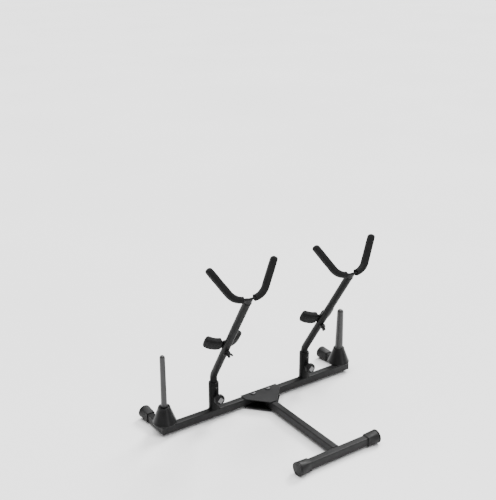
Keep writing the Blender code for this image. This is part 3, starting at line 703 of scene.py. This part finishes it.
# --- sockets ----------------------------------------------------------------------------------
def make_socket(word):
    """Turned socket with a chamfered mouth, welded to the bar, and its boss and rivet."""
    joint = JOINTS[f"{word}_turn"]["pos_m"]
    knob = Vector(JOINTS[f"{word}_knob_turn"]["pos_m"])
    foot = Vector((joint[0], joint[1], 0.0))
    body = f"{word}_wing"
    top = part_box(f"{word}_socket")[1].z
    seat = TUBE_TOP + 0.0003
    wall = eased(((SOCKET_BORE_R, seat), (SOCKET_R, seat), (SOCKET_R, top),
                  (SOCKET_BORE_R, top)), 0.0007)
    # The socket, boss and welds take the powder coat copy that carries painted shade.
    Shape().turned(wall + [(SOCKET_BORE_R, seat + 0.0002)], foot, Z_AXIS, 72, loop=True).build(
        f"{word}_socket_tube", body, "powder_coat", [f"{word}_socket"], finish=PAINTED_SHADE_TUBE_COAT)

    knob_axis = Vector((foot.x, foot.y, knob.z))
    bore = SCREW_R + 0.0004
    ring = eased(((bore, BOSS_BACK), (BOSS_R, BOSS_BACK), (BOSS_R, BOSS_FRONT),
                  (bore, BOSS_FRONT)), 0.0006)
    Shape().turned(ring + [(bore, BOSS_BACK + 0.0002)], knob_axis, -Y_AXIS, 40, loop=True).build(
        f"{word}_boss", body, "powder_coat", [f"{word}_knob_boss"], finish=PAINTED_SHADE_TUBE_COAT)

    rivet_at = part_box(f"{word}_socket_rivet")
    level = (rivet_at[0].z + rivet_at[1].z) / 2
    dome = eased(((0.0019, 0.0110), (0.0019, 0.0118), (0.0013, 0.0122), (0.0001, 0.0123)), 0.0003)
    Shape().turned(dome, Vector((foot.x, foot.y, level)), -Y_AXIS, 24).build(
        f"{word}_rivet", body, "zinc_fastener", [f"{word}_socket_rivet"])

    welds = Shape()
    arc_steps = 30
    for way in (0, math.pi):
        arc = []
        for step in range(arc_steps + 1):
            angle = way + math.radians(-38 + 76 * step / arc_steps)
            arc.append(foot + Vector((math.cos(angle), math.sin(angle), 0)) * 0.0118
                       + Z_AXIS * (TUBE_TOP + 0.0005))
        welds.bead(arc, 0.0013, way)
    collar = []
    collar_steps = 56
    collar_r = BOSS_R + 0.0004
    for step in range(collar_steps + 1):
        angle = 2 * math.pi * step / collar_steps
        side, rise = collar_r * math.cos(angle), collar_r * math.sin(angle)
        depth = math.sqrt(SOCKET_R ** 2 - side ** 2)
        collar.append(knob_axis + Vector((side, -depth - 0.0002, rise)))
    welds.bead(collar, 0.0010, 5.0, Y_AXIS)
    welds.build(f"{word}_socket_welds", body, "powder_coat", finish=PAINTED_SHADE_TUBE_COAT)

    low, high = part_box(f"{word}_bush")
    bore = POST_R + 0.0003
    rim = top + 0.0003
    profile = eased(((bore, low.z), (0.0094, low.z), (0.0094, rim), (0.0110, rim),
                     (0.0110, rim + 0.0010), (0.0098, high.z), (bore, high.z)), 0.0005)
    Shape().turned(profile + [(bore, low.z + 0.0005)], foot, Z_AXIS, 72, loop=True).build(
        f"{word}_collar_bush", f"{word}_swivel", "black_plastic", [f"{word}_bush"])


def make_knob(word):
    """Clamp knob with a fluted rim, a dished face and a framed inlay."""
    joint = Vector(JOINTS[f"{word}_knob_turn"]["pos_m"])
    post = JOINTS[f"{word}_turn"]["pos_m"]
    centre = Vector((joint.x, post[1], joint.z))
    count = 144
    flutes = 24
    profile = eased(((SCREW_R, SCREW_START), (SCREW_R, 0.0163), (0.0075, 0.0163),
                     (0.0096, 0.0186), (KNOB_R, 0.0197), (KNOB_R, 0.0264), (0.0104, 0.0277),
                     (0.0086, 0.0280), (0.0080, 0.0276), (0.0004, 0.0276)), 0.0008)
    rings = []
    for radius, depth in profile:
        ring = []
        grip = 0.00038 if radius > 0.0112 else 0.0
        for index in range(count):
            angle = 2 * math.pi * index / count
            reach = radius - grip * (0.5 - 0.5 * math.cos(angle * flutes)) ** 2
            ring.append((reach * math.cos(angle), reach * math.sin(angle)))
        rings.append(place(ring, centre - Y_AXIS * depth, X_AXIS, Z_AXIS))
    Shape().skin(rings).build(f"{word}_clamp_knob", f"{word}_knob", "black_plastic",
                              [f"{word}_height_knob"], sharp=50)

    low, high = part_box(f"{word}_knob_inlay")
    half = (high.x - low.x) / 2 / math.sqrt(2)
    turn = math.radians(45)
    across = X_AXIS * math.cos(turn) + Z_AXIS * math.sin(turn)
    up = Z_AXIS * math.cos(turn) - X_AXIS * math.sin(turn)
    face = Vector((joint.x, low.y, joint.z))
    square = oval(half, half, 9.0, 64)
    rings = []
    for factor, back in ((1.0, 0.0010), (1.0, 0.0003), (0.97, 0.00006), (0.92, 0.0),
                         (0.90, 0.00018), (0.86, 0.00020), (0.84, 0.00006), (0.40, 0.0),
                         (0.02, 0.0)):
        rings.append(place(scaled(square, factor), face + Y_AXIS * back, across, up))
    Shape().skin(rings).build(f"{word}_knob_plate", f"{word}_knob", "grey_inlay",
                              [f"{word}_knob_inlay"])


# --- pegs -------------------------------------------------------------------------------------
def make_peg(word, kind):
    """Cone with a stepped foot and a collar, and a tapered rod with a shoulder."""
    low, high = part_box(f"{kind}_peg_base")
    foot = Vector(((low.x + high.x) / 2, (low.y + high.y) / 2, 0.0))
    radius = (high.x - low.x) / 2
    body = f"{word}_wing"
    seat, neck = low.z, high.z
    bore = 0.0043
    profile = eased(((bore, seat), (radius, seat), (radius, seat + 0.0028),
                     (radius - 0.0010, seat + 0.0042), (CONE_NECK_R + 0.0010, neck - 0.0040),
                     (CONE_NECK_R, neck), (CONE_NECK_R - 0.0014, neck),
                     (CONE_NECK_R - 0.0018, neck - 0.0010), (bore, neck - 0.0010)), 0.0009)
    Shape().turned(profile + [(bore, seat + 0.0005)], foot, Z_AXIS, 96, loop=True).build(
        f"{kind}_cone", body, "peg_base_rubber", [f"{kind}_peg_base"])

    low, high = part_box(f"{kind}_peg")
    base_r = (high.x - low.x) / 2
    tip = high.z
    start = neck - 0.0008
    tip_r = 0.0058 if kind == "flute" else 0.0075
    shoulder = base_r * 0.90
    outline = ((0.0002, low.z), (0.0040, low.z), (0.0040, start), (base_r * 0.97, start),
               (base_r, start + 0.0008), (base_r, start + 0.0040), (shoulder, start + 0.0052),
               (tip_r, tip - tip_r))
    profile = eased(outline, 0.0006)
    for step in range(1, 9):
        angle = math.pi / 2 * step / 8.2                 # stops just short of the axis
        profile.append((tip_r * math.cos(angle), tip - tip_r + tip_r * math.sin(angle)))
    Shape().turned(profile, foot, Z_AXIS, 64).build(
        f"{kind}_rod", body, "peg_plastic", [f"{kind}_peg"])


# --- hub and frame welds ----------------------------------------------------------------------
def make_pivot(word):
    """Socket-head pivot bolt over the hub and a hexagon nut with its thread below."""
    joint = Vector(JOINTS[f"{word}_fold"]["pos_m"])
    axis = Vector((joint.x, joint.y, 0.0))
    low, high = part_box(f"{word}_pivot_bolt")
    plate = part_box("hub_top_plate")[1].z
    top = high.z
    count = 48
    hexagon = polygon(0.0020, 6, count)
    rings = []
    for radius, level in eased(((SCREW_R, plate - 0.004), (SCREW_R, plate + 0.0002),
                                (0.0062, plate + 0.0003), (0.0062, plate + 0.0012),
                                (0.0050, top - 0.0004), (0.0027, top)), 0.0005):
        rings.append(place(circle(radius, count), axis + Z_AXIS * level, X_AXIS, Y_AXIS))
    for points, level in ((scaled(hexagon, 1.06), top), (hexagon, top - 0.0002),
                          (hexagon, top - 0.0018), (scaled(hexagon, 0.2), top - 0.0020)):
        rings.append(place(points, axis + Z_AXIS * level, X_AXIS, Y_AXIS))
    bolt = Shape().skin(rings)
    nut_low, nut_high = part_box(f"{word}_pivot_nut")
    bolt.screw_thread(axis, -Z_AXIS, SCREW_R, 0.0003, THREAD_PITCH, -plate + 0.006, -low.z)
    bolt.build(f"{word}_hub_bolt", "hub", "zinc_fastener", [f"{word}_pivot_bolt"])

    nut = Shape()
    outer = polygon(0.0054 * math.cos(math.pi / 6), 6, count)
    bore = circle(0.0031, count)
    rings = []
    for points, level in ((bore, nut_low.z), (scaled(outer, 0.93), nut_low.z),
                          (outer, nut_low.z + 0.0003), (outer, nut_high.z - 0.0002),
                          (scaled(outer, 0.96), nut_high.z), (bore, nut_high.z)):
        rings.append(place(points, axis + Z_AXIS * level, X_AXIS, Y_AXIS))
    nut.skin(rings, loop=True).build(f"{word}_hub_nut", "hub", "zinc_fastener",
                                     [f"{word}_pivot_nut"], sharp=25)


def line(start, end, step=0.0006):
    count = max(4, int((end - start).length / step))
    return [start.lerp(end, i / count) for i in range(count + 1)]


def make_leg_welds():
    """Beads where the leg meets the cross tube."""
    low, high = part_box("front_leg")
    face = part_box("front_cross_tube")[1].y + 0.00015
    welds = Shape()
    half = TUBE_W / 2 - 0.001
    top = line(Vector((-half, face, high.z)), Vector((half, face, high.z)))
    welds.bead(top, 0.0009, 7.0, Y_AXIS)
    for way in (-1, 1):
        at = way * (TUBE_W / 2)
        welds.bead(line(Vector((at, face, low.z + 0.001)), Vector((at, face, high.z - 0.001))),
                   0.0011, 8.0 + way, X_AXIS)
    welds.build("front_leg_weld", "hub", "powder_coat")


# --- studio -----------------------------------------------------------------------------------
def make_studio():
    """A pale floor, an even white world and four suns."""
    floor = bpy.data.meshes.new("studio_floor")
    corners = [(x * FLOOR_HALF, y * FLOOR_HALF, 0) for x, y in ((-1, -1), (1, -1), (1, 1), (-1, 1))]
    floor.from_pydata(corners, [], [(0, 1, 2, 3)])
    floor_object = bpy.data.objects.new("studio_floor", floor)
    bpy.context.scene.collection.objects.link(floor_object)
    f = Finish("pale_studio_floor", (0.86, 0.86, 0.86), 0.7)
    f.set("Base Color", f.ramp(f.noise(1.2, 2), ((0.3, 0.84), (0.7, 0.88))))
    f.set("Specular IOR Level", 0.15)
    floor.materials.append(f.material)

    world = bpy.data.worlds.new("studio_world")
    world.use_nodes = True
    world.node_tree.nodes["Background"].inputs["Color"].default_value = (1, 1, 1, 1)
    world.node_tree.nodes["Background"].inputs["Strength"].default_value = WORLD_STRENGTH
    bpy.context.scene.world = world

    for name, towards, angle, power in SUNS:
        data = bpy.data.lights.new(name, "SUN")
        data.angle = math.radians(angle)
        data.energy = power
        lamp = bpy.data.objects.new(name, data)
        lamp.location = towards
        lamp.rotation_euler = Vector(towards).to_track_quat("Z", "Y").to_euler()
        bpy.context.scene.collection.objects.link(lamp)


def make_camera():
    """The photograph's viewpoint, from the straight edges of the base."""
    data = bpy.data.cameras.new("studio_camera")
    data.sensor_fit = "HORIZONTAL"
    data.sensor_width = CAMERA_SENSOR
    data.lens = CAMERA_LENS
    data.clip_end = 100
    camera = bpy.data.objects.new("studio_camera", data)
    row_y = JOINTS["left_fold"]["pos_m"][1]
    camera.location = (CAMERA_AT[0], CAMERA_AT[1] + row_y, CAMERA_AT[2])
    camera.rotation_euler = [math.radians(angle) for angle in CAMERA_TURN]
    bpy.context.scene.collection.objects.link(camera)
    bpy.context.scene.camera = camera


coat_frame_nodes()
for NODE, BODY, OUT in (("front_foot_left", "hub", -X_AXIS), ("front_foot_right", "hub", X_AXIS),
                        ("left_rear_foot", "left_wing", Y_AXIS),
                        ("right_rear_foot", "right_wing", Y_AXIS)):
    make_cap(NODE, BODY, OUT)
for WORD in ("left", "right"):
    ARM = Arm(WORD)
    make_arm(WORD, ARM)
    make_arm_pads(WORD, ARM)
    make_cradle_clamp(WORD, ARM)
    make_socket(WORD)
    make_knob(WORD)
    make_pivot(WORD)
make_peg("left", "flute")
make_peg("right", "clarinet")
make_leg_welds()
make_studio()
make_camera()
